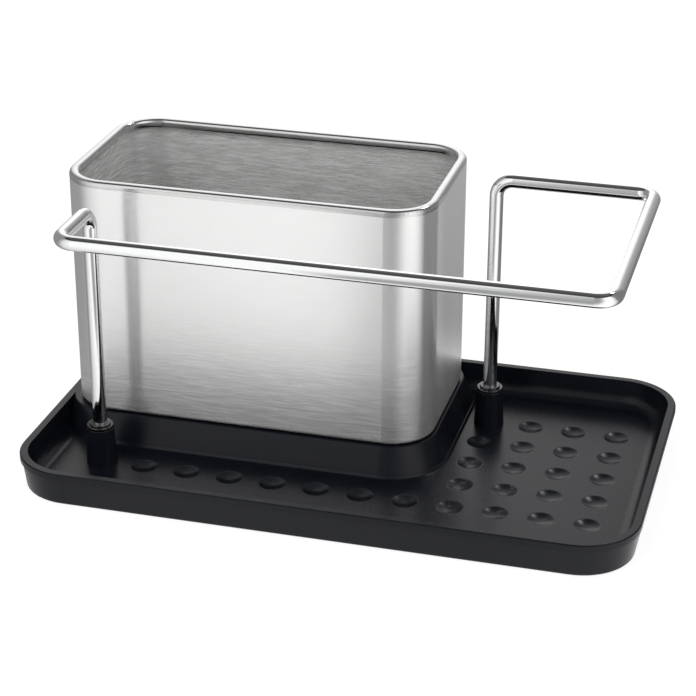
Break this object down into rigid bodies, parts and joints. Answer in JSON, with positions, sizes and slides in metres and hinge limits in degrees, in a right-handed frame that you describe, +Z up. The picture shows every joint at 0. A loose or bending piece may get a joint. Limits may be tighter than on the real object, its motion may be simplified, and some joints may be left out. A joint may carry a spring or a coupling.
{
  "type": "kitchen sink caddy",
  "caption": "Sink caddy: moulded black drip tray with a raised plinth, a lift-off brushed steel holder and a bent chromed wire rail.",
  "frame": {"origin": "middle of the tray's footprint, on the surface that the rubber feet stand on", "axes": "+X along the tray to the right, +Y to the back, +Z up"},
  "size_m": [0.262, 0.154, 0.1211],
  "materials": {
    "brushed_steel": "brushed along the sides, polished on the curled edge",
    "chrome": "mirror bright",
    "moulded_black": "fine satin",
    "base_black": "fine satin",
    "foot_rubber": "matt",
    "zinc_steel": "bright zinc plate"
  },
  "bodies": {
    "caddy": {"drip_tray": "moulded_black", "rail": "chrome", "rail_collar_left": "chrome", "rail_collar_right": "chrome", "rail_washer_left": "zinc_steel", "rail_washer_right": "zinc_steel", "rail_nut_left": "zinc_steel", "rail_nut_right": "zinc_steel", "foot_front_left": "foot_rubber", "foot_front_right": "foot_rubber", "foot_back_left": "foot_rubber", "foot_back_right": "foot_rubber"},
    "holder": {"holder_sleeve": "brushed_steel", "holder_base": "base_black"}
  },
  "joints": [
    {"name": "holder_lift", "type": "slide", "parent": "caddy", "child": "holder", "axis": [0, 0, 1], "range_m": [0, 0.13]}
  ]
}
